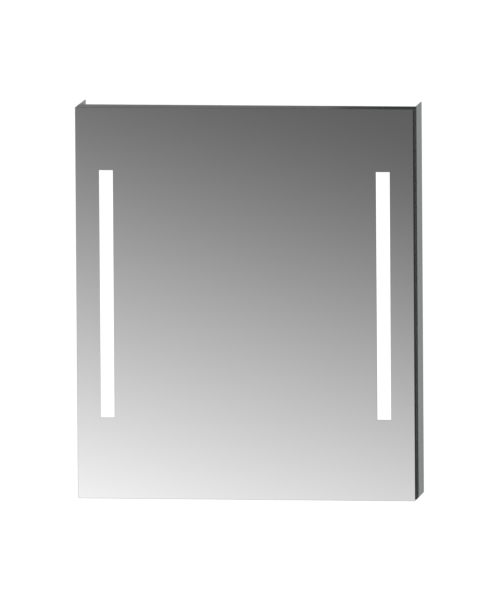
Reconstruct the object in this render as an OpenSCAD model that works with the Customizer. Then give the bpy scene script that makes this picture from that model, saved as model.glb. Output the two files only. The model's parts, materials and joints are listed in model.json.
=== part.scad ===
// Wall-hung medicine cabinet with one mirror door and two upright light columns.
// +Z is up and +Y points into the wall.
// The origin is on the wall plane, halfway between the two wall screws.
// "Out" is a distance measured from the wall plane towards the room, along -Y.

/* [Cabinet] */
// Overall width
cabinet_w = 700; // [650:10:900]
// Overall height
cabinet_h = 810; // [790:10:900]
// Overall depth, from the wall to the face of the mirror
cabinet_d = 150; // [145:1:180]
// Depth of the side cheeks
cheek_d = 90; // [89:1:95]
// Thickness of the cheek sheet
cheek_t = 2; // [1:0.5:2.5]
// Thickness of the top and bottom boards and of the partitions
board_t = 12; // [10:1:14]
// Distance from the outside of a cheek to the storage space
bay_w = 112; // [108:1:116]

/* [Mirror door] */
// Thickness of the mirror pane
glass_t = 4; // [3:0.5:5]
// Width of the door's hollow bars
door_bar_w = 22; // [21:1:24]
// Finger groove between the edge of the pane and the door's right bar
finger_groove = 10; // [8:1:11]
// Width of a lit window
window_w = 28.5; // [20:0.5:30]
// Height of a lit window
window_h = 512; // [400:1:540]
// Distance from the side of the pane to a lit window
window_inset = 49; // [46:0.5:52]
// Height of the lit windows above the cabinet's bottom edge
window_z = 168; // [150:1:190]

/* [Storage] */
// Thickness of a glass shelf
shelf_t = 5; // [4:1:6]
// Depth of a glass shelf
shelf_d = 95; // [90:1:100]
// Number of the hole that carries the lower shelf, counted from 0
shelf_hole = 2; // [1:1:3]
// Number of holes from one shelf to the next
shelf_step = 6; // [5:1:6]

/* [Hinges] */
// Height of one hinge
hinge_h = 70; // [60:1:80]
// Radius of a hinge pin
pin_r = 1.5; // [1.4:0.05:1.6]

/* [Wall rail] */
// Distance between the two wall screws
wall_screw_pitch = 500; // [300:10:520]
// Radius of a wall screw hole
wall_screw_r = 3; // [2:0.25:4]
// Height of the wall screws above the cabinet's bottom edge
rail_z = 690; // [660:1:700]

/* [Hidden] */
$fn = 48;
half_w = cabinet_w / 2;
fit = 0.1;

// The layers, as distances out from the wall
tape_t = 1;
glass_back = cabinet_d - glass_t;
door_bar_d = 17;
door_back = glass_back - tape_t - door_bar_d;
door_gap = 2.5;
ring_front = door_back - door_gap;
board_front = ring_front - 1.5;
back_panel_out = 12;
board_back = 16;

// Extruded bars of the front frame and of the door
bar_wall = 3;
ring_bar_w = 24;
tongue_d = 10;
tongue_t = 3;
rebate_w = 6;
rebate_d = 3;
door_left = -half_w + 1;
door_right = half_w - finger_groove;
door_low = 0;
door_high = cabinet_h;
key_leg = 60;
key_t = 6;

// Boards
bottom_z = ring_bar_w;
floor_z = bottom_z + board_t;
top_z = cabinet_h - ring_bar_w;
ceiling_z = top_z - board_t;
partition_x = half_w - bay_w;
ring_inner_x = half_w - ring_bar_w;
cheek_inner_x = half_w - cheek_t;

// Shelf holes
shelf_hole_r = 2.5;
shelf_pin_r = 2.4;
hole_pitch = 32;
hole_count = 19;
first_hole_z = floor_z + 96;
pin_rows = [34, 100];
pin_collar_t = 1.5;

// Light columns
sheet_t = 1.5;
light_x = half_w - window_inset - window_w / 2;
light_mid_z = window_z + window_h / 2;
slot_w = window_w + 3.5;
slot_h = window_h + 18;
channel_w = slot_w + 10;
channel_h = slot_h + 10;
channel_back = 98;
channel_front = board_front - sheet_t;
cap_t = 2;
led_pitch = 16;
led_count = floor((channel_h - 60) / led_pitch);
led_t = 0.8;
led_board_t = 1.6;
cable_r = 2.5;
cable_bend = 9;
cable_out = 60;
cap_cable_out = 110;

// Hinges
hinge_out = (door_back + ring_front) / 2;
knuckle_r = 3;
knuckle_count = 5;
knuckle_gap = 0.3;
leaf_t = 1;
leaf_w = 19;
leaf_screw_x = 11;
hinge_heights = [96, 405, 714];
csk_r = 2.6;
screw_r = 1.45;

// Magnetic catches on the right bar
catch_heights = [290, 520];
catch_w = 11;
catch_h = 44;
catch_x = ring_inner_x + bar_wall + catch_w / 2;

// Electrical bay on top of the cabinet
bay_out = 46;
cover_x = 125;
cover_w = 42;
cover_h = 18;
bay_cable_z = top_z + 9;
gland_x = 105;
gland_bore_r = 3.25;
switch_x = half_w - 50;
switch_out = 50;
switch_tilt = 7;
switch_axis_z = bottom_z + 1;
terminal_x = 88;
terminal_out = bay_out + 30;

// ---------- Placing ----------

// Heights are drawn from the cabinet's bottom edge, and this hangs them from the wall screws.
module hung() translate([0, 0, -rail_z]) children();

// Drawing in front view: X to the right, Y up, Z out from the wall.
module front_view() rotate([90, 0, 0]) children();

// Extrudes a front-view outline from one distance out to another.
module layer(out_from, out_to)
    front_view() translate([0, 0, out_from]) linear_extrude(out_to - out_from) children();

// A box from three spans: across, out from the wall, and up.
module block(x, out, z)
    translate([x[0], -out[1], z[0]]) cube([x[1] - x[0], out[1] - out[0], z[1] - z[0]]);

// The right half is drawn; side -1 gives its mirror image.
module on_side(side) mirror([side < 0 ? 1 : 0, 0, 0]) children();

// A round piece that lies along the out direction.
module out_cylinder(x, z, out_from, out_to, r, r_end = -1)
    front_view() translate([x, z, out_from])
        cylinder(h = out_to - out_from, r1 = r, r2 = r_end < 0 ? r : r_end);

module centred_rect(w, h) square([w, h], center = true);

// ---------- Bars with mitred ends ----------

// A bar along X whose section is the child: X inward from the outer edge, Y out from the wall.
module mitred_bar(bar_length, w) {
    intersection() {
        rotate([90, 0, 90]) linear_extrude(bar_length) children();
        linear_extrude(cabinet_d)
            polygon([[0, 0], [bar_length, 0], [bar_length - w, w], [w, w]]);
    }
}

// One side of a rectangular frame: 0 bottom, 1 right, 2 top, 3 left.
module frame_side(side, x0, x1, z0, z1, w) {
    corner = [[x0, z0], [x1, z0], [x1, z1], [x0, z1]][side];
    bar_length = side % 2 == 0 ? x1 - x0 : z1 - z0;
    front_view() translate([corner.x, corner.y, 0]) rotate(90 * side)
        mitred_bar(bar_length, w) children();
}

module ring_section() {
    ring_d = ring_front - cheek_d;
    difference() {
        union() {
            translate([0, cheek_d]) square([ring_bar_w, ring_d]);
            translate([cheek_t, cheek_d - tongue_d]) square([tongue_t, tongue_d + 1]);
        }
        translate([bar_wall, cheek_d + bar_wall])
            square([ring_bar_w - 2 * bar_wall, ring_d - 2 * bar_wall]);
    }
}

module ring_side(side) frame_side(side, -half_w, half_w, 0, cabinet_h, ring_bar_w) ring_section();

module door_section() {
    difference() {
        translate([0, door_back]) square([door_bar_w, door_bar_d]);
        translate([door_bar_w - rebate_w, door_back - 1]) square([rebate_w + 1, rebate_d + 1]);
        translate([bar_wall, door_back + bar_wall])
            square([door_bar_w - rebate_w - 2 * bar_wall, door_bar_d - 2 * bar_wall]);
    }
}

module door_side(side)
    frame_side(side, door_left, door_right, door_low, door_high, door_bar_w) door_section();

// L-shaped keys that join the hollow bars at the four corners.
module corner_keys(x0, x1, z0, z1, inset, w, out) {
    leg = [[0, 0], [key_leg, 0], [key_leg, w], [w, w], [w, key_leg], [0, key_leg]];
    for (right = [0, 1], top = [0, 1])
        layer(out, out + key_t)
            translate([right ? x1 - inset : x0 + inset, top ? z1 - inset : z0 + inset])
                mirror([right, 0]) mirror([0, top]) polygon(leg);
}

// ---------- Screws ----------

// A countersunk screw along +Z with its head's face at the origin, and the hole that it needs.
module csk_screw(shank) {
    cylinder(h = leaf_t, r1 = csk_r, r2 = screw_r);
    cylinder(h = shank, r = screw_r);
}

module csk_hole() translate([0, 0, -fit])
    cylinder(h = leaf_t + 2 * fit, r1 = csk_r + 2 * fit, r2 = screw_r + fit);

// A pan-head screw along +Z with the underside of its head at the origin.
module pan_screw(shank, r) {
    cylinder(h = shank, r = r);
    translate([0, 0, -1.8]) cylinder(h = 1.8, r = 1.9 * r);
}

// Screw places on a hinge leaf and on a strike plate, in front view.
module at_hinge_screws()
    for (z = hinge_heights, dz = [-1, 0, 1] * (hinge_h / 2 - 9))
        translate([-half_w + leaf_screw_x, z + dz, 0]) children();

module at_strike_screws()
    for (z = catch_heights, dz = [-1, 1] * (catch_h / 2 - 5))
        translate([catch_x, z + dz, 0]) children();

// ---------- Hinges ----------

module at_hinges() for (z = hinge_heights) translate([-half_w, -hinge_out, z - hinge_h / 2]) children();

// Room around the barrels in the bars on both sides of the gap.
module hinge_room() at_hinges() translate([0, 0, -2]) cylinder(h = hinge_h + 4, r = knuckle_r + 0.4);

// Leaves with every second knuckle, starting with the knuckle whose number is first.
module hinge_leaves(first, leaf_from, bore_r) {
    pitch = hinge_h / knuckle_count;
    difference() {
        union() {
            for (z = hinge_heights)
                block([-half_w, -half_w + leaf_w], [leaf_from, leaf_from + leaf_t],
                      [z - hinge_h / 2, z + hinge_h / 2]);
            at_hinges() for (i = [first:2:knuckle_count - 1])
                translate([0, 0, i * pitch + knuckle_gap / 2])
                    cylinder(h = pitch - knuckle_gap, r = knuckle_r);
        }
        at_hinges() for (i = [1 - first:2:knuckle_count - 1])
            translate([0, 0, i * pitch - knuckle_gap / 2])
                cylinder(h = pitch + knuckle_gap, r = knuckle_r + 0.3);
        at_hinges() translate([0, 0, -1]) cylinder(h = hinge_h + 2, r = bore_r);
    }
}

module hinge_door_leaves() color("silver") hung() difference() {
    hinge_leaves(1, door_back - leaf_t, pin_r + 0.05);
    front_view() at_hinge_screws() translate([0, 0, door_back - leaf_t]) csk_hole();
}

module hinge_frame_leaves() color("silver") hung() difference() {
    hinge_leaves(0, ring_front, pin_r + 0.02);
    front_view() at_hinge_screws() translate([0, 0, ring_front + leaf_t]) mirror([0, 0, 1]) csk_hole();
}

module hinge_pins() color("gainsboro") hung() at_hinges() {
    translate([0, 0, -1]) cylinder(h = hinge_h + 1, r = pin_r);
    translate([0, 0, hinge_h]) cylinder(h = 1.5, r = knuckle_r - 0.3);
}

// ---------- Mirror door ----------

module window_outline(grow)
    translate([light_x, light_mid_z]) centred_rect(window_w + 2 * grow, window_h + 2 * grow);

module mirror_glass() color("lightslategray") hung() layer(glass_back, cabinet_d) difference() {
    translate([-half_w, 0]) square([cabinet_w, cabinet_h]);
    for (side = [0, 1]) mirror([side, 0]) window_outline(0);
}

module satin_window(side) color("white") hung() on_side(side)
    layer(glass_back, cabinet_d) window_outline(-0.05);

module satin_window_left() satin_window(-1);
module satin_window_right() satin_window(1);

// Adhesive strip between the pane and the bars.
module mirror_tape() color("whitesmoke") hung() layer(glass_back - tape_t, glass_back) difference() {
    inset = 5;
    strip_w = 10;
    translate([door_left + inset, door_low + inset])
        square([door_right - door_left - 2 * inset, door_high - door_low - 2 * inset]);
    translate([door_left + inset + strip_w, door_low + inset + strip_w])
        square([door_right - door_left - 2 * (inset + strip_w),
                door_high - door_low - 2 * (inset + strip_w)]);
}

module door_rail_bottom() color("dimgray") hung() door_side(0);
module door_rail_top() color("dimgray") hung() door_side(2);

module door_stile_right() color("dimgray") hung() difference() {
    door_side(1);
    front_view() at_strike_screws() translate([0, 0, door_back - 1]) cylinder(h = 5, r = screw_r + fit);
}

module door_stile_left() color("dimgray") hung() difference() {
    door_side(3);
    hinge_room();
    front_view() at_hinge_screws() translate([0, 0, door_back - 1]) cylinder(h = 5, r = screw_r + fit);
}

module door_corner_keys() color("silver") hung()
    corner_keys(door_left, door_right, door_low, door_high, bar_wall,
                door_bar_w - rebate_w - 2 * bar_wall, door_back + bar_wall + 2);

// White inner panel in the bars' rebate, open behind the lit windows.
module door_inner_panel() color("white") hung() layer(door_back + fit, door_back + rebate_d) {
    edge = door_bar_w - rebate_w + 0.3;
    difference() {
        translate([door_left + edge, door_low + edge])
            square([door_right - door_left - 2 * edge, door_high - door_low - 2 * edge]);
        for (side = [0, 1]) mirror([side, 0]) window_outline(3);
    }
}

module door_bumpers() color("lightgray") hung()
    for (z = [50, cabinet_h - 50])
        out_cylinder(catch_x + 1, z, ring_front + 0.4, door_back, 4, 5);

module strike_plates() color("silver") hung() difference() {
    for (z = catch_heights)
        block([catch_x - catch_w / 2, catch_x + catch_w / 2], [door_back - leaf_t, door_back],
              [z - catch_h / 2, z + catch_h / 2]);
    front_view() at_strike_screws() translate([0, 0, door_back - leaf_t]) csk_hole();
}

module door_screws() color("gainsboro") hung() front_view() {
    at_hinge_screws() translate([0, 0, door_back - leaf_t]) csk_screw(6);
    at_strike_screws() translate([0, 0, door_back - leaf_t]) csk_screw(6);
}

// ---------- Front frame and cheeks ----------

module front_rail_bottom() color("dimgray") hung() ring_side(0);
module front_rail_top() color("dimgray") hung() ring_side(2);

module front_stile_right() color("dimgray") hung() difference() {
    ring_side(1);
    for (z = catch_heights)
        block([catch_x - catch_w / 2, catch_x + catch_w / 2], [ring_front - 5, ring_front + 1],
              [z - catch_h / 2, z + catch_h / 2]);
}

module front_stile_left() color("dimgray") hung() difference() {
    ring_side(3);
    hinge_room();
    front_view() at_hinge_screws() translate([0, 0, ring_front - 4]) cylinder(h = 5, r = screw_r + fit);
}

module front_corner_keys() color("silver") hung()
    corner_keys(-half_w, half_w, 0, cabinet_h, bar_wall, ring_bar_w - 2 * bar_wall, cheek_d + 12);

// A cheek is one sheet with a flange against the wall.
module side_cheek(side) color("slategray") hung() on_side(side) {
    block([cheek_inner_x, half_w], [0, cheek_d], [0, cabinet_h]);
    block([cheek_inner_x - 14, half_w - 0.5], [0, cheek_t], [20, cabinet_h - 20]);
}

module side_cheek_left() side_cheek(-1);
module side_cheek_right() side_cheek(1);

// ---------- Boards ----------

// The boards are narrower in front, between the bars, and wider behind, between the cheeks.
module board_outline() {
    step = cheek_d - tongue_d - 0.5;
    translate([-ring_inner_x, -board_front]) square([2 * ring_inner_x, board_front - step + 1]);
    translate([-cheek_inner_x, -step]) square([2 * cheek_inner_x, step - board_back]);
}

module top_board() color("white") hung() difference() {
    translate([0, 0, ceiling_z]) linear_extrude(board_t) board_outline();
    for (x = [-light_x, light_x])
        translate([x, -cable_out, ceiling_z - 1]) cylinder(h = board_t + 2, r = 6);
    translate([switch_x, -switch_out, ceiling_z - 1]) cylinder(h = board_t + 2, r = 6);
    for (side = [-1, 1])
        translate([side * (cover_x + 6), -(bay_out + cover_w / 2), top_z - 8]) cylinder(h = 9, r = 1.6);
}

module bottom_board() color("white") hung() difference() {
    translate([0, 0, bottom_z]) linear_extrude(board_t) board_outline();
    block([switch_x - 14.2, switch_x + 14.2], [switch_out - 9.2, switch_out + 9.2],
          [bottom_z - 1, floor_z + 1]);
}

module back_panel() color("white") hung() layer(back_panel_out, board_back) difference() {
    translate([-cheek_inner_x, bottom_z]) square([2 * cheek_inner_x, top_z - bottom_z]);
    for (x = rail_screw_x) translate([x, rail_z + 16]) circle(2.1);
}

module partition(side) color("white") hung() on_side(side) difference() {
    block([partition_x, partition_x + board_t], [board_back, board_front], [floor_z, ceiling_z]);
    for (i = [0:hole_count - 1], out = pin_rows)
        translate([partition_x - 1, -out, first_hole_z + i * hole_pitch]) rotate([0, 90, 0])
            cylinder(h = 9, r = shelf_hole_r);
}

module partition_left() partition(-1);
module partition_right() partition(1);

// ---------- Shelves ----------

function shelf_pin_z(i) = first_hole_z + (shelf_hole + i * shelf_step) * hole_pitch;

module shelf(i) color("lightcyan") hung() {
    z = shelf_pin_z(i) + shelf_pin_r;
    length_half = partition_x - pin_collar_t - 0.5;
    block([-length_half, length_half], [board_back + 3, board_back + 3 + shelf_d], [z, z + shelf_t]);
}

module shelf_lower() shelf(0);
module shelf_middle() shelf(1);
module shelf_upper() shelf(2);

module shelf_pins() color("silver") hung()
    for (side = [-1, 1], i = [0:2], out = pin_rows)
        on_side(side) translate([partition_x, -out, shelf_pin_z(i)]) rotate([0, 90, 0]) {
            translate([0, 0, -9]) cylinder(h = 16, r = shelf_pin_r);
            translate([0, 0, -pin_collar_t]) cylinder(h = pin_collar_t, r = 4);
        }

// ---------- Light columns ----------

// Folded sheet that closes the space beside the storage, with a slot for the diffuser.
module light_fascia(side) color("white") hung() on_side(side) {
    inner_x = partition_x + board_t;
    difference() {
        union() {
            block([inner_x, ring_inner_x], [board_front - sheet_t, board_front], [floor_z, ceiling_z]);
            block([inner_x, inner_x + sheet_t], [board_front - 18, board_front], [floor_z, ceiling_z]);
            block([ring_inner_x - sheet_t, ring_inner_x], [board_front - 22, board_front],
                  [floor_z, ceiling_z]);
        }
        layer(board_front - 3, board_front + 1)
            translate([light_x, light_mid_z]) centred_rect(slot_w, slot_h);
    }
}

module light_fascia_left() light_fascia(-1);
module light_fascia_right() light_fascia(1);

module light_channel(side) color("silver") hung() on_side(side) difference() {
    layer(channel_back, channel_front)
        translate([light_x, light_mid_z]) centred_rect(channel_w, channel_h);
    layer(channel_back + sheet_t, channel_front + 1)
        translate([light_x, light_mid_z]) centred_rect(channel_w - 2 * sheet_t, channel_h + 2);
}

module light_channel_left() light_channel(-1);
module light_channel_right() light_channel(1);

// The opal strip is wider behind the fascia and its raised middle fills the slot.
module diffuser(side) color("white") hung() on_side(side) {
    layer(channel_front - 2.5, channel_front)
        translate([light_x, light_mid_z]) centred_rect(channel_w - 2 * sheet_t - 0.4, channel_h - 2);
    layer(channel_front - 0.5, board_front)
        translate([light_x, light_mid_z]) centred_rect(slot_w - 0.4, slot_h - 0.4);
}

module diffuser_left() diffuser(-1);
module diffuser_right() diffuser(1);

led_board_front = channel_back + sheet_t + led_board_t;

module led_boards() color("seashell") hung() for (side = [-1, 1])
    on_side(side) layer(channel_back + sheet_t, led_board_front)
        translate([light_x, light_mid_z]) centred_rect(18, channel_h - 20);

module led_chips() color("gold") hung() for (side = [-1, 1], i = [0:led_count - 1])
    on_side(side) layer(led_board_front, led_board_front + led_t)
        translate([light_x, light_mid_z + (i - (led_count - 1) / 2) * led_pitch])
            centred_rect(3.5, 2.8);

module light_end_caps() color("lightgray") hung() for (side = [-1, 1])
    on_side(side) difference() {
        for (z = [light_mid_z - channel_h / 2 - cap_t, light_mid_z + channel_h / 2])
            block([light_x - channel_w / 2, light_x + channel_w / 2], [channel_back, channel_front],
                  [z, z + cap_t]);
        translate([light_x, -cap_cable_out, light_mid_z + channel_h / 2 - 1])
            cylinder(h = cap_t + 2, r = cable_r + 0.2);
    }

// ---------- Catches ----------

module magnetic_catches() color("gray") hung() difference() {
    for (z = catch_heights)
        block([catch_x - catch_w / 2 + fit, catch_x + catch_w / 2 - fit],
              [ring_front - 12, ring_front + 0.5], [z - catch_h / 2 + fit, z + catch_h / 2 - fit]);
    for (z = catch_heights)
        block([catch_x - 3.5, catch_x + 3.5], [ring_front - 4, ring_front + 1], [z - 16, z + 16]);
}

module catch_magnets() color("darkgray") hung() for (z = catch_heights)
    block([catch_x - 3.4, catch_x + 3.4], [ring_front - 4, ring_front + 0.6], [z - 15.9, z + 15.9]);

// ---------- Hanging rails ----------

rail_screw_x = [-3, -1, 1, 3] * (partition_x - 13) / 3;
rail_sheet = 2.5;
hook_h = 22.5;
wall_rail_x = half_w - 60;
body_rail_x = half_w - 70;

// The wall rail is screwed to the wall and its upturned lip carries the cabinet.
module wall_rail() color("silver") hung() difference() {
    union() {
        block([-wall_rail_x, wall_rail_x], [0, rail_sheet], [rail_z - 20, rail_z + 28]);
        block([-wall_rail_x, wall_rail_x], [0, 7.5], [rail_z + 6, rail_z + 8.5]);
        block([-wall_rail_x, wall_rail_x], [5.5, 7.5], [rail_z + 6, rail_z + hook_h]);
    }
    for (x = [-wall_screw_pitch / 2, wall_screw_pitch / 2])
        out_cylinder(x, rail_z, -1, rail_sheet + 1, wall_screw_r);
}

// The body rail on the back panel hooks down behind that lip.
module body_rail() color("silver") hung() difference() {
    union() {
        block([-body_rail_x, body_rail_x], [back_panel_out - rail_sheet, back_panel_out],
              [rail_z + 5, rail_z + 25]);
        block([-body_rail_x, body_rail_x], [3, back_panel_out], [rail_z + hook_h, rail_z + 25]);
        block([-body_rail_x, body_rail_x], [3, 5], [rail_z + 11, rail_z + 25]);
    }
    for (x = rail_screw_x)
        out_cylinder(x, rail_z + 16, back_panel_out - rail_sheet - 1, back_panel_out + 1, 2.1);
}

module wall_buffers() color("dimgray") hung() for (x = [-1, 1] * (half_w - 50))
    out_cylinder(x, 60, 0, back_panel_out, 8, 10);

// ---------- Corner angles and screws ----------

angle_leg = 18;
angle_out = [24, 72];
angle_screw_out = [36, 60];

module corner_angle() {
    block([cheek_inner_x - angle_leg, cheek_inner_x], angle_out, [floor_z, floor_z + 2]);
    block([cheek_inner_x - 2, cheek_inner_x], angle_out, [floor_z, floor_z + angle_leg]);
}

module corner_angles() color("silver") hung() difference() {
    for (side = [-1, 1]) on_side(side) {
        corner_angle();
        translate([0, 0, floor_z + ceiling_z]) mirror([0, 0, 1]) corner_angle();
    }
    for (x = [-1, 1] * (cheek_inner_x - angle_leg / 2 - 1), out = angle_screw_out, z = [floor_z, ceiling_z])
        translate([x, -out, z - 5]) cylinder(h = 10, r = 2.1);
}

// Every pan-head screw of the fixed body: the angles', the rail's, and the driver cover's.
module carcass_screws() color("gainsboro") hung() {
    for (x = [-1, 1] * (cheek_inner_x - angle_leg / 2 - 1), out = angle_screw_out) {
        translate([x, -out, floor_z + 2]) mirror([0, 0, 1]) pan_screw(2, 2);
        translate([x, -out, ceiling_z - 2]) pan_screw(2, 2);
    }
    front_view() for (x = rail_screw_x)
        translate([x, rail_z + 16, board_back]) mirror([0, 0, 1]) pan_screw(6.5, 2);
    for (side = [-1, 1])
        translate([side * (cover_x + 6), -(bay_out + cover_w / 2), top_z + 1.2])
            mirror([0, 0, 1]) pan_screw(8, 1.5);
    front_view() at_hinge_screws() translate([0, 0, ring_front + leaf_t])
        mirror([0, 0, 1]) csk_screw(6);
}

// ---------- Electrical bay ----------

module led_driver() color("whitesmoke") hung() {
    block([-110, 50], [bay_out + 5, bay_out + 38], [top_z, top_z + 2]);
    block([-100, 40], [bay_out + 6, bay_out + 37], [top_z + 1, top_z + 15]);
}

module terminal_block() color("ivory") hung() difference() {
    block([terminal_x - 26, terminal_x], [terminal_out - 8, terminal_out + 8], [top_z, top_z + 14]);
    for (x = [terminal_x - 21, terminal_x - 13, terminal_x - 5])
        translate([x, -terminal_out, top_z + 6]) cylinder(h = 9, r = 2.2);
}

// Sheet cover over the driver and the terminals, with a cable notch at each end.
module driver_cover() color("lightgray") hung() difference() {
    t = 1.2;
    union() {
        block([-cover_x, cover_x], [bay_out, bay_out + cover_w], [top_z, top_z + cover_h]);
        block([-cover_x - 12, cover_x + 12], [bay_out + 10, bay_out + cover_w - 10],
              [top_z, top_z + t]);
    }
    block([-cover_x + t, cover_x - t], [bay_out + t, bay_out + cover_w - t],
          [top_z - 1, top_z + cover_h - t]);
    block([-cover_x - 1, cover_x + 1], [cable_out - 5, bay_out + cover_w - 6], [top_z + 3, top_z + 14]);
    out_cylinder(gland_x, bay_cable_z, bay_out - 1, bay_out + 2, 5.1);
    for (side = [-1, 1])
        translate([side * (cover_x + 6), -(bay_out + cover_w / 2), top_z - 1]) cylinder(h = 3, r = 1.6);
}

module cable_gland() color("dimgray") hung() difference() {
    union() {
        front_view() translate([gland_x, bay_cable_z, bay_out - 6]) cylinder(h = 6, r = 7.5, $fn = 6);
        out_cylinder(gland_x, bay_cable_z, bay_out - 10, bay_out - 6, 4.8, 6);
        out_cylinder(gland_x, bay_cable_z, bay_out - 1, bay_out + 7, 5);
        out_cylinder(gland_x, bay_cable_z, bay_out + 1.2, bay_out + 3.5, 7);
    }
    out_cylinder(gland_x, bay_cable_z, bay_out - 12, bay_out + 9, gland_bore_r);
}

module grommet() rotate_extrude()
    polygon([[cable_r + 0.2, -1.5], [8, -1.5], [8, 0], [5.9, 0], [5.9, board_t], [8, board_t],
             [8, board_t + 1.5], [cable_r + 0.2, board_t + 1.5]]);

module cable_grommets() color("dimgray") hung() {
    for (x = [-light_x, light_x]) translate([x, -cable_out, ceiling_z]) grommet();
    translate([switch_x, -switch_out, ceiling_z]) grommet();
}

// ---------- Cables ----------

function unit(v) = v / norm(v);

// Turns the Z axis to the direction d, which lies along one of the axes.
module along(d) {
    a = [d.y, d.z, d.x];
    b = cross(d, a);
    multmatrix([[a.x, b.x, d.x, 0], [a.y, b.y, d.y, 0], [a.z, b.z, d.z, 0]]) children();
}

// A quarter bend that starts along d1 and ends along d2, placed at the corner point.
module bend(corner, d1, d2) {
    c = corner + cable_bend * (d2 - d1);
    n = cross(d1, d2);
    multmatrix([[-d2.x, d1.x, n.x, c.x], [-d2.y, d1.y, n.y, c.y], [-d2.z, d1.z, n.z, c.z]])
        rotate_extrude(angle = 90) translate([cable_bend, 0]) circle(cable_r);
}

// A cable through points joined by runs along the axes, each corner rounded.
module cable(points) {
    last = len(points) - 1;
    for (i = [0:last - 1]) {
        d = unit(points[i + 1] - points[i]);
        start = points[i] + d * (i == 0 ? 0 : cable_bend);
        bends = (i == 0 ? 0 : 1) + (i == last - 1 ? 0 : 1);
        run = norm(points[i + 1] - points[i]) - bends * cable_bend;
        translate(start) along(d) cylinder(h = run, r = cable_r);
        if (i < last - 1) bend(points[i + 1], d, unit(points[i + 2] - points[i + 1]));
    }
}

cap_top_z = light_mid_z + channel_h / 2;

module light_cable_left() color("white") hung() cable([
    [-light_x, -cap_cable_out, cap_top_z - 6], [-light_x, -cap_cable_out, cap_top_z + 22],
    [-light_x, -cable_out, cap_top_z + 22], [-light_x, -cable_out, bay_cable_z],
    [-100, -cable_out, bay_cable_z]]);

module light_cable_right() color("white") hung() cable([
    [light_x, -cap_cable_out, cap_top_z - 6], [light_x, -cap_cable_out, cap_top_z + 22],
    [light_x, -cable_out, cap_top_z + 22], [light_x, -cable_out, bay_cable_z],
    [40, -cable_out, bay_cable_z]]);

module switch_cable() color("white") hung() cable([
    [switch_x, -switch_out, bottom_z + 30], [switch_x, -switch_out, bay_cable_z],
    [switch_x, -terminal_out, bay_cable_z], [terminal_x, -terminal_out, bay_cable_z]]);

// ---------- Rocker switch under the bottom board ----------

module switch_body() color("black") hung() difference() {
    union() {
        block([switch_x - 17, switch_x + 17], [switch_out - 11, switch_out + 11], [bottom_z - 2, bottom_z]);
        block([switch_x - 14, switch_x + 14], [switch_out - 9, switch_out + 9],
              [bottom_z - 1, bottom_z + 30]);
    }
    block([switch_x - 10.2, switch_x + 10.2], [switch_out - 6.8, switch_out + 6.8],
          [bottom_z - 3, bottom_z + 9]);
    out_cylinder(switch_x, switch_axis_z, switch_out - 8.3, switch_out + 8.3, 1.25);
}

// The rocker is drawn tilted to its on side.
module switch_rocker() color("dimgray") hung()
    translate([switch_x, 0, switch_axis_z]) rotate([0, -switch_tilt, 0]) {
        layer(switch_out - 6.5, switch_out + 6.5)
            polygon([[-9, 3], [-9, -5.2], [0, -3.8], [9, -5.2], [9, 3], [0, 5]]);
        front_view() translate([0, 0, switch_out - 8.2]) cylinder(h = 16.4, r = 1.2);
    }

mirror_glass();
satin_window_left();
satin_window_right();
mirror_tape();
door_rail_bottom();
door_stile_right();
door_rail_top();
door_stile_left();
door_corner_keys();
door_inner_panel();
door_bumpers();
strike_plates();
hinge_door_leaves();
door_screws();
front_rail_bottom();
front_stile_right();
front_rail_top();
front_stile_left();
front_corner_keys();
side_cheek_left();
side_cheek_right();
top_board();
bottom_board();
back_panel();
partition_left();
partition_right();
shelf_lower();
shelf_middle();
shelf_upper();
shelf_pins();
light_fascia_left();
light_fascia_right();
light_channel_left();
light_channel_right();
diffuser_left();
diffuser_right();
led_boards();
led_chips();
light_end_caps();
hinge_frame_leaves();
hinge_pins();
magnetic_catches();
catch_magnets();
body_rail();
wall_rail();
wall_buffers();
corner_angles();
carcass_screws();
led_driver();
terminal_block();
driver_cover();
cable_gland();
cable_grommets();
light_cable_left();
light_cable_right();
switch_cable();
switch_body();
switch_rocker();
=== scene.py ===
"""Looks for a wall-hung medicine cabinet with a mirror door and two upright light columns."""

import json
import math

import bpy
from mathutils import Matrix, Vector


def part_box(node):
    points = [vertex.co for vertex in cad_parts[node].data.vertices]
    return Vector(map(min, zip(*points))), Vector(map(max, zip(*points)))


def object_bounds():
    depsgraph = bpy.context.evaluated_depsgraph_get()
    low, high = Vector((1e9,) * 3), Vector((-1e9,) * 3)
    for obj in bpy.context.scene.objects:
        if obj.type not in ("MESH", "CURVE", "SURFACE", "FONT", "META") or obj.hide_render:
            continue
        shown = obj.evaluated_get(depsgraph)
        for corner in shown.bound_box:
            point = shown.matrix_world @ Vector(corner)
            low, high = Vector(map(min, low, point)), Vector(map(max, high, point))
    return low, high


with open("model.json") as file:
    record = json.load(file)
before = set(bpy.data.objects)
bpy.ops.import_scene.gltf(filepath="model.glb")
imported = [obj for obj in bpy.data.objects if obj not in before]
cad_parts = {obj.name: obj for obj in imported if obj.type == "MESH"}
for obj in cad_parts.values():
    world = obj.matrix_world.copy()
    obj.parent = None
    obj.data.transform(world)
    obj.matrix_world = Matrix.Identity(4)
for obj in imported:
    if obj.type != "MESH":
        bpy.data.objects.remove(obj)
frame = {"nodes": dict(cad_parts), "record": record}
cad_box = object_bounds()
nodes = frame["nodes"]

# ---------- Camera and studio, with lengths in metres ----------

VIEW_AZIMUTH = math.radians(7.4)
VIEW_ELEVATION = math.radians(6.6)
VIEW_ROLL = math.radians(-0.4)
VIEW_DISTANCE = 40.0
FRAME_HEIGHT = 1.2360
AIM_OFFSET = (0.0020, 0.0, 0.0001)
SENSOR = 36.0
CLIP_START = 1.0

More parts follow.
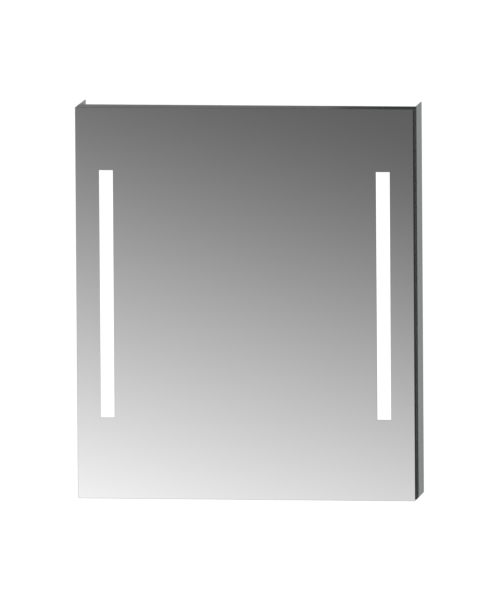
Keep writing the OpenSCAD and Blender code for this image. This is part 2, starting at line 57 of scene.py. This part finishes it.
# The floor, and the graded one that the mirror sees: where its grading starts and ends, and its strengths.
FLOOR_Z = -1.75
FLOOR_SIZE = 400.0
FLOOR_GLOW = 0.35
FLOOR_LIFT = 0.01
FLOOR_SWEEP_SIZE = 9.0
FLOOR_SWEEP_BACK = 4.0
FLOOR_SWEEP_SPAN = (-4.5, -0.8)
FLOOR_SWEEP_GLOW = (0.26, 0.72)

# The screen before the mirror. Its glow starts at a height on the mirror, slants with x and rises as a power.
# Higher up it grows paler again, and towards the left it fades.
SWEEP_REACH = 3.0
SWEEP_SIZE = 9.0
SWEEP_START = 0.2484
SWEEP_SLANT = 0.276
SWEEP_CURVE = 1.607
SWEEP_DARK = 0.108
SWEEP_PALE = 0.838
SWEEP_MOST = 0.92
SWEEP_HIGH_SPAN = (1.0, 4.5)
SWEEP_HIGH_GLOW = 0.3
SWEEP_FADE_SPAN = (-3.2, -1.0)
SWEEP_FADE = 0.5
SILVERING = 0.865

# The screens that the cabinet's edges reflect: distance behind the wall, x span and z span. Their glow falls
# towards the right in steps, each with its start and end in x and how far it falls.
UPPER_SCREEN = (0.35, (-0.9, 0.5), (0.125, 0.5))
SIDE_SCREEN = (1.2, (0.40, 0.9), (-1.2, 0.12))
SCREEN_GLOW = 0.33
SCREEN_FALLS = ((-0.4, 0.08, 0.08), (0.105, 0.15, 0.16), (0.15, 0.24, 0.06))

# Name, place, size and power in watts of each lamp.
LAMPS = (("key", (-2.6, -3.4, 2.6), 2.6, 42.0), ("fill", (3.2, -2.2, 1.2), 2.4, 18.0))

WORLD_SEEN = 1.06
WORLD_LIGHT = 0.75
WORLD_GLOSS_SPAN = (-0.6, 0.9)
WORLD_GLOSS = (0.95, 0.45)

# How far inside a pane's outline a face still counts as its silvered, painted or cut side.
PANE_SKIN = 0.00005
SHELF_SKIN = 0.0006

# The copper tracks of a circuit board: its middle from its outer side, a track's distance from the middle
# and its half width.
TRACK_INSET = 0.009
TRACK_OFF = 0.006
TRACK_HALF = 0.0012

low, high = cad_box
centre = (low + high) / 2
view_back = Vector((math.sin(VIEW_AZIMUTH) * math.cos(VIEW_ELEVATION),
                    -math.cos(VIEW_AZIMUTH) * math.cos(VIEW_ELEVATION), math.sin(VIEW_ELEVATION)))
eye = centre + Vector(AIM_OFFSET) + view_back * VIEW_DISTANCE
glass_low, glass_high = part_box("mirror_glass")
glass_front = glass_low.y
glass_back = glass_high.y


# ---------- Node helpers ----------

def add(tree, kind, inputs=None, **settings):
    """A new shader node with its settings, its input values and its incoming links."""
    made = tree.nodes.new(kind)
    for key, value in settings.items():
        setattr(made, key, value)
    for key, value in (inputs or {}).items():
        if isinstance(value, bpy.types.NodeSocket):
            tree.links.new(value, made.inputs[key])
        else:
            made.inputs[key].default_value = value
    return made


def maths(tree, operation, a, b=0.0, c=0.0, clamp=False):
    values = {0: a, 1: b, 2: c}
    return add(tree, "ShaderNodeMath", values, operation=operation, use_clamp=clamp).outputs[0]


def between(tree, value, from_low, from_high, to_low, to_high):
    """value mapped from one range to another and clamped."""
    spans = {0: value, 1: from_low, 2: from_high, 3: to_low, 4: to_high}
    return add(tree, "ShaderNodeMapRange", spans).outputs[0]


def mix(tree, share, a, b):
    return add(tree, "ShaderNodeMix", {0: share, 6: a, 7: b}, data_type="RGBA").outputs[2]


def own_place(tree):
    """The piece's own coordinates, in metres, which turn with the piece."""
    return add(tree, "ShaderNodeTexCoord").outputs["Object"]


def axis(tree, name):
    """One of the piece's own coordinates."""
    return add(tree, "ShaderNodeSeparateXYZ", {0: own_place(tree)}).outputs[name]


def noise(tree, scale, stretch=(1, 1, 1), detail=3.0, rough=0.5):
    place = add(tree, "ShaderNodeMapping", {"Vector": own_place(tree), "Scale": stretch}).outputs[0]
    return add(tree, "ShaderNodeTexNoise",
               {"Vector": place, "Scale": scale, "Detail": detail, "Roughness": rough}).outputs["Fac"]


def rgb(colour):
    return (*colour, 1.0)


def scaled(colour, by):
    return rgb([min(1.0, c * by) for c in colour])


def surface(name, colour, roughness, metallic=0.0, tint=0.05, spread=0.06, patch=14.0,
            grain=900.0, stretch=(1, 1, 1), bump=0.1, depth=0.00004):
    """A material whose colour drifts in patches and whose grain moves its roughness and its normal."""
    material = bpy.data.materials.new(name)
    material.use_nodes = True
    tree = material.node_tree
    shader = tree.nodes["Principled BSDF"]
    patches = noise(tree, patch, detail=4.0)
    fine = noise(tree, grain, stretch)
    drift = between(tree, patches, 0.3, 0.7, 0.0, 1.0)
    tree.links.new(mix(tree, drift, scaled(colour, 1 - tint), scaled(colour, 1 + tint)),
                   shader.inputs["Base Color"])
    both = maths(tree, "MULTIPLY_ADD", patches, 0.5, maths(tree, "MULTIPLY", fine, 0.5))
    tree.links.new(between(tree, both, 0.3, 0.7, roughness - spread, roughness + spread),
                   shader.inputs["Roughness"])
    relief = add(tree, "ShaderNodeBump", {"Strength": bump, "Distance": depth, "Height": fine}).outputs[0]
    tree.links.new(relief, shader.inputs["Normal"])
    shader.inputs["Metallic"].default_value = metallic
    return material, tree, shader


def glow(shader, colour, strength):
    shader.inputs["Emission Color"].default_value = rgb(colour)
    shader.inputs["Emission Strength"].default_value = strength


def plain_material(name, colour, roughness, **look):
    return surface(name, colour, roughness, **look)[0]


# ---------- Materials ----------

def mirror_material():
    """Silvered in front, with a polished green-black glass edge and a painted back."""
    material, tree, shader = surface("mirror", (0.866, 0.868, 0.866), 0.02, tint=0.004, spread=0.008,
                                     patch=5.0, grain=60.0, bump=0.0)
    y = axis(tree, "Y")
    silver = maths(tree, "LESS_THAN", y, glass_front + PANE_SKIN)
    painted = maths(tree, "GREATER_THAN", y, glass_back - PANE_SKIN)
    front = shader.inputs["Base Color"].links[0].from_socket
    edge = mix(tree, between(tree, noise(tree, 30.0), 0.35, 0.65, 0.0, 1.0),
               (0.014, 0.024, 0.021, 1), (0.022, 0.036, 0.032, 1))
    body = mix(tree, painted, edge, (0.40, 0.42, 0.41, 1))
    tree.links.new(mix(tree, silver, body, front), shader.inputs["Base Color"])
    tree.links.new(silver, shader.inputs["Metallic"])
    smooth = shader.inputs["Roughness"].links[0].from_socket
    edge_rough = between(tree, painted, 0.0, 1.0, 0.12, 0.6)
    tree.links.new(maths(tree, "ADD", maths(tree, "MULTIPLY", silver, smooth),
                         maths(tree, "MULTIPLY", maths(tree, "SUBTRACT", 1.0, silver), edge_rough)),
                   shader.inputs["Roughness"])
    return material


def satin_glass_material():
    """Sandblasted glass with the light column's glow painted on as its own glow, which it keeps when the door
    swings away.
    """
    material, _, shader = surface("satin_glass", (0.46, 0.47, 0.47), 0.55, tint=0.015, spread=0.05,
                                  grain=2400.0, bump=0.25, depth=0.00003)
    # Painted glow: the glass shines by itself in place of the light column behind it.
    glow(shader, (1.0, 1.0, 1.0), 0.68)
    return material


def opal_material():
    """Opal acrylic, lit by the row of lamps behind it."""
    material, _, shader = surface("opal_plastic", (0.92, 0.93, 0.93), 0.38, tint=0.01, spread=0.05,
                                  grain=700.0, bump=0.12)
    glow(shader, (1.0, 1.0, 1.0), 3.2)
    return material


def anodised_material(name, along):
    """Dark anodised extrusion with fine drawing lines along its length."""
    return plain_material(name, (0.088, 0.095, 0.093), 0.22, metallic=0.5, tint=0.12, spread=0.05,
                          patch=9.0, grain=1500.0, stretch=along, bump=0.16, depth=0.00002)


def cheek_material():
    """Grey anodised sheet, brushed upwards, with soft bands from the rolling."""
    colour = (0.310, 0.346, 0.334)
    material, tree, shader = surface("cheek_aluminium", colour, 0.50, metallic=0.25, tint=0.03, spread=0.06,
                                     patch=7.0, grain=1100.0, stretch=(1, 1, 0.012), bump=0.2, depth=0.00003)
    bands = noise(tree, 55.0, (0.2, 1, 0.01), detail=1.0)
    share = between(tree, bands, 0.3, 0.7, 0.0, 1.0)
    base = shader.inputs["Base Color"].links[0].from_socket
    banded = mix(tree, 0.5, base, mix(tree, share, scaled(colour, 0.86), scaled(colour, 1.12)))
    tree.links.new(banded, shader.inputs["Base Color"])
    return material


def shelf_glass_material():
    """Clear glass whose cut front and rear edges show green."""
    material, tree, shader = surface("shelf_glass", (0.90, 0.96, 0.94), 0.03, tint=0.01, spread=0.015,
                                     patch=6.0, grain=40.0, bump=0.0)
    shelf_low, shelf_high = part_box("shelf_lower")
    y = axis(tree, "Y")
    front = maths(tree, "LESS_THAN", y, shelf_low.y + SHELF_SKIN)
    rear = maths(tree, "GREATER_THAN", y, shelf_high.y - SHELF_SKIN)
    edge = maths(tree, "ADD", front, rear, clamp=True)
    base = shader.inputs["Base Color"].links[0].from_socket
    tree.links.new(mix(tree, edge, base, (0.16, 0.42, 0.34, 1)), shader.inputs["Base Color"])
    shader.inputs["Transmission Weight"].default_value = 0.94
    shader.inputs["IOR"].default_value = 1.5
    return material


def phosphor_material():
    material, _, shader = surface("led", (0.92, 0.78, 0.30), 0.35, tint=0.08, grain=3000.0)
    glow(shader, (1.0, 0.97, 0.9), 3.0)
    return material


def circuit_material():
    """White solder mask with a copper track down each side showing through."""
    material, tree, shader = surface("circuit_board", (0.84, 0.84, 0.80), 0.4, tint=0.03, grain=900.0)
    x = maths(tree, "ABSOLUTE", axis(tree, "X"))
    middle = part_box("led_boards")[1].x - TRACK_INSET
    off = maths(tree, "ABSOLUTE", maths(tree, "SUBTRACT", x, middle))
    track = maths(tree, "COMPARE", off, TRACK_OFF, TRACK_HALF)
    base = shader.inputs["Base Color"].links[0].from_socket
    tree.links.new(mix(tree, track, base, (0.72, 0.68, 0.56, 1)), shader.inputs["Base Color"])
    return material


def make_materials():
    """One material for each slot of the record."""
    return {
        "mirror": mirror_material(),
        "satin_glass": satin_glass_material(),
        "foam_tape": plain_material("foam_tape", (0.78, 0.78, 0.75), 0.85, grain=1800.0, bump=0.6,
                                    depth=0.0002),
        "dark_aluminium": anodised_material("dark_aluminium", (1, 1, 0.01)),
        "bright_aluminium": plain_material("bright_aluminium", (0.70, 0.71, 0.72), 0.34, metallic=1.0,
                                           tint=0.04, grain=1300.0, stretch=(0.02, 1, 1), bump=0.15,
                                           depth=0.00003),
        "cheek_aluminium": cheek_material(),
        "white_aluminium": plain_material("white_aluminium", (0.70, 0.71, 0.71), 0.36, tint=0.015,
                                          grain=420.0, bump=0.10, depth=0.00006),
        "white_board": plain_material("white_board", (0.69, 0.70, 0.70), 0.42, tint=0.02, grain=650.0,
                                      stretch=(1, 1, 0.15), bump=0.14, depth=0.00005),
        "shelf_glass": shelf_glass_material(),
        "steel": plain_material("steel", (0.62, 0.62, 0.63), 0.27, metallic=1.0, tint=0.05, grain=1600.0,
                                stretch=(1, 1, 0.05), bump=0.12, depth=0.00002),
        "white_steel": plain_material("white_steel", (0.71, 0.72, 0.72), 0.45, tint=0.015, grain=520.0,
                                      bump=0.30, depth=0.00008),
        "opal_plastic": opal_material(),
        "circuit_board": circuit_material(),
        "led": phosphor_material(),
        "grey_plastic": plain_material("grey_plastic", (0.50, 0.51, 0.52), 0.5, grain=1500.0, bump=0.3,
                                       depth=0.00006),
        "clear_rubber": plain_material("clear_rubber", (0.70, 0.70, 0.68), 0.3, grain=800.0, bump=0.08),
        "dark_rubber": plain_material("dark_rubber", (0.03, 0.03, 0.03), 0.7, tint=0.2, grain=1400.0,
                                      bump=0.35, depth=0.0001),
        "dark_plastic": plain_material("dark_plastic", (0.028, 0.028, 0.031), 0.3, tint=0.1, grain=1700.0,
                                       bump=0.2, depth=0.00004),
        "white_pvc": plain_material("white_pvc", (0.66, 0.66, 0.64), 0.38, grain=600.0, bump=0.1),
    }


def dress_nodes(materials):
    """Gives every CAD node the material of its slot."""
    level_bars = ("front_rail", "door_rail")
    across = anodised_material("dark_aluminium_across", (0.01, 1, 1))
    for part in frame["record"]["subparts"]:
        material = materials[part["material_slot"]]
        if part["node"].startswith(level_bars):
            material = across
        for place in nodes[part["node"]].material_slots:
            place.material = material


# ---------- Edges ----------

# Nodes by the radius of their edges, in metres.
JOIN_DISTANCE = 0.00001
SHARP_ANGLE = math.radians(40)
EDGE_RADIUS = {
    0.0006: ("mirror_glass", "shelf_lower", "shelf_middle", "shelf_upper"),
    0.0004: ("door_rail_top", "door_rail_bottom", "door_stile_right", "front_rail_top", "front_rail_bottom",
             "front_stile_right", "side_cheek_left", "side_cheek_right"),
    0.0008: ("top_board", "bottom_board", "led_driver", "terminal_block", "driver_cover"),
    0.0005: ("light_fascia_left", "light_fascia_right", "diffuser_left", "diffuser_right", "switch_rocker"),
}


def round_edges():
    """A small real radius on the sharp edges, so that they catch the light."""
    for radius, names in EDGE_RADIUS.items():
        for name in names:
            weld = nodes[name].modifiers.new("joined_corners", "WELD")
            weld.merge_threshold = JOIN_DISTANCE
            edge = nodes[name].modifiers.new("edge_radius", "BEVEL")
            edge.width = radius
            edge.segments = 2
            edge.limit_method = "ANGLE"
            edge.angle_limit = SHARP_ANGLE


# ---------- Stage ----------

def plane(name, corners, material):
    mesh = bpy.data.meshes.new(name)
    mesh.from_pydata(corners, [], [range(len(corners))])
    mesh.materials.append(material)
    piece = bpy.data.objects.new(name, mesh)
    bpy.context.scene.collection.objects.link(piece)
    return piece


def level_plane(name, z, x_span, y_span, material):
    (x0, x1), (y0, y1) = x_span, y_span
    return plane(name, [(x0, y0, z), (x1, y0, z), (x1, y1, z), (x0, y1, z)], material)


def upright_plane(name, y, x_span, z_span, material):
    (x0, x1), (z0, z1) = x_span, z_span
    return plane(name, [(x0, y, z0), (x1, y, z0), (x1, y, z1), (x0, y, z1)], material)


def emission_material(name):
    material = bpy.data.materials.new(name)
    material.use_nodes = True
    tree = material.node_tree
    tree.nodes.remove(tree.nodes["Principled BSDF"])
    light = add(tree, "ShaderNodeEmission")
    tree.links.new(light.outputs[0], tree.nodes["Material Output"].inputs["Surface"])
    return material, tree, light


def reflections_only(piece):
    """Seen in glossy surfaces, and nowhere else."""
    piece.visible_camera = False
    piece.visible_diffuse = False
    piece.visible_transmission = False
    piece.visible_shadow = False


def make_floor():
    """A pale floor, clear from below, and a graded one that the mirror sees in its place."""
    material, tree, shader = surface("floor", (0.92, 0.92, 0.92), 0.8, tint=0.01, patch=0.8, grain=40.0,
                                     bump=0.02)
    glow(shader, (1, 1, 1), FLOOR_GLOW)
    below = add(tree, "ShaderNodeNewGeometry").outputs["Backfacing"]
    clear = add(tree, "ShaderNodeBsdfTransparent").outputs[0]
    either = add(tree, "ShaderNodeMixShader", {0: below, 1: shader.outputs[0], 2: clear}).outputs[0]
    tree.links.new(either, tree.nodes["Material Output"].inputs["Surface"])
    whole = (-FLOOR_SIZE / 2, FLOOR_SIZE / 2)
    floor = level_plane("floor", FLOOR_Z, whole, whole, material)
    floor.visible_diffuse = False
    floor.visible_glossy = False
    material, tree, light = emission_material("floor_sweep")
    strength = between(tree, axis(tree, "Y"), *FLOOR_SWEEP_SPAN, *FLOOR_SWEEP_GLOW)
    tree.links.new(strength, light.inputs["Strength"])
    reflections_only(level_plane("floor_sweep", FLOOR_Z + FLOOR_LIFT, (-FLOOR_SWEEP_SIZE, FLOOR_SWEEP_SIZE),
                                 (-FLOOR_SWEEP_SIZE, FLOOR_SWEEP_BACK), material))


def make_mirror_sweep():
    """A graded studio screen before the mirror, which shows pale below and dark above and to the right."""
    material, tree, light = emission_material("mirror_sweep")
    y = glass_front - SWEEP_REACH
    beyond = SWEEP_REACH / (glass_front - eye.y)
    x, z = axis(tree, "X"), axis(tree, "Z")
    mirror_x = maths(tree, "DIVIDE", maths(tree, "ADD", x, eye.x * beyond), 1 + beyond)
    mirror_z = maths(tree, "DIVIDE", maths(tree, "ADD", z, eye.z * beyond), 1 + beyond)
    level = maths(tree, "MULTIPLY_ADD", mirror_x, SWEEP_SLANT, mirror_z)
    drop = maths(tree, "SUBTRACT", SWEEP_START, level)
    rise = maths(tree, "POWER", maths(tree, "MAXIMUM", drop, 0.0), SWEEP_CURVE)
    graded = maths(tree, "MULTIPLY_ADD", rise, SWEEP_PALE - SWEEP_DARK, SWEEP_DARK)
    graded = maths(tree, "MINIMUM", graded, SWEEP_MOST)
    graded = maths(tree, "ADD", graded, between(tree, z, *SWEEP_HIGH_SPAN, 0.0, SWEEP_HIGH_GLOW))
    fade = between(tree, x, *SWEEP_FADE_SPAN, SWEEP_FADE / SILVERING, 1.0 / SILVERING)
    tree.links.new(maths(tree, "MULTIPLY", graded, fade), light.inputs["Strength"])
    half = SWEEP_SIZE / 2
    reflections_only(upright_plane("mirror_sweep", y, (-half, half), (FLOOR_Z + FLOOR_LIFT, half), material))


def make_edge_screens():
    """Screens behind the cabinet for its top and right edges to reflect, paler at left and dark at right."""
    material, tree, light = emission_material("edge_screen")
    x = axis(tree, "X")
    strength = SCREEN_GLOW
    for start, end, fall in SCREEN_FALLS:
        strength = maths(tree, "SUBTRACT", strength, between(tree, x, start, end, 0.0, fall))
    tree.links.new(strength, light.inputs["Strength"])
    for name, (behind, x_span, z_span) in (("upper_screen", UPPER_SCREEN), ("side_screen", SIDE_SCREEN)):
        reflections_only(upright_plane(name, high.y + behind, x_span, z_span, material))


def make_lights():
    """Two large soft lamps that shape the boards and the cheeks."""
    for name, place, size, power in LAMPS:
        lamp = bpy.data.lights.new(name, "AREA")
        lamp.size = size
        lamp.energy = power
        piece = bpy.data.objects.new(name, lamp)
        piece.location = place
        piece.rotation_euler = (centre - Vector(place)).to_track_quat("-Z", "Y").to_euler()
        piece.visible_glossy = False
        bpy.context.scene.collection.objects.link(piece)


def make_world():
    """White to the camera, softer as light, and graded from floor to ceiling in glossy surfaces."""
    world = bpy.data.worlds.new("studio")
    world.use_nodes = True
    tree = world.node_tree
    rays = add(tree, "ShaderNodeLightPath")
    sky = add(tree, "ShaderNodeTexCoord").outputs["Generated"]
    up = add(tree, "ShaderNodeSeparateXYZ", {0: sky}).outputs["Z"]
    glossy = maths(tree, "SUBTRACT", between(tree, up, *WORLD_GLOSS_SPAN, *WORLD_GLOSS), WORLD_LIGHT)
    seen, mirrored = rays.outputs["Is Camera Ray"], rays.outputs["Is Glossy Ray"]
    strength = maths(tree, "MULTIPLY_ADD", seen, WORLD_SEEN - WORLD_LIGHT, WORLD_LIGHT)
    strength = maths(tree, "MULTIPLY_ADD", mirrored, glossy, strength)
    tree.links.new(strength, tree.nodes["Background"].inputs["Strength"])
    tree.nodes["Background"].inputs["Color"].default_value = (1, 1, 1, 1)
    bpy.context.scene.world = world
    bpy.context.scene.view_settings.view_transform = "Standard"


def make_camera():
    data = bpy.data.cameras.new("camera")
    data.sensor_width = SENSOR
    data.lens = SENSOR * VIEW_DISTANCE / FRAME_HEIGHT
    data.clip_start, data.clip_end = CLIP_START, FLOOR_SIZE
    camera = bpy.data.objects.new("camera", data)
    camera.location = eye
    camera.rotation_euler = (-view_back).to_track_quat("-Z", "Y").to_euler()
    camera.rotation_euler.rotate_axis("Z", VIEW_ROLL)
    bpy.context.scene.collection.objects.link(camera)
    bpy.context.scene.camera = camera


make_camera()
make_world()
make_lights()
make_floor()
make_mirror_sweep()
make_edge_screens()
dress_nodes(make_materials())
round_edges()
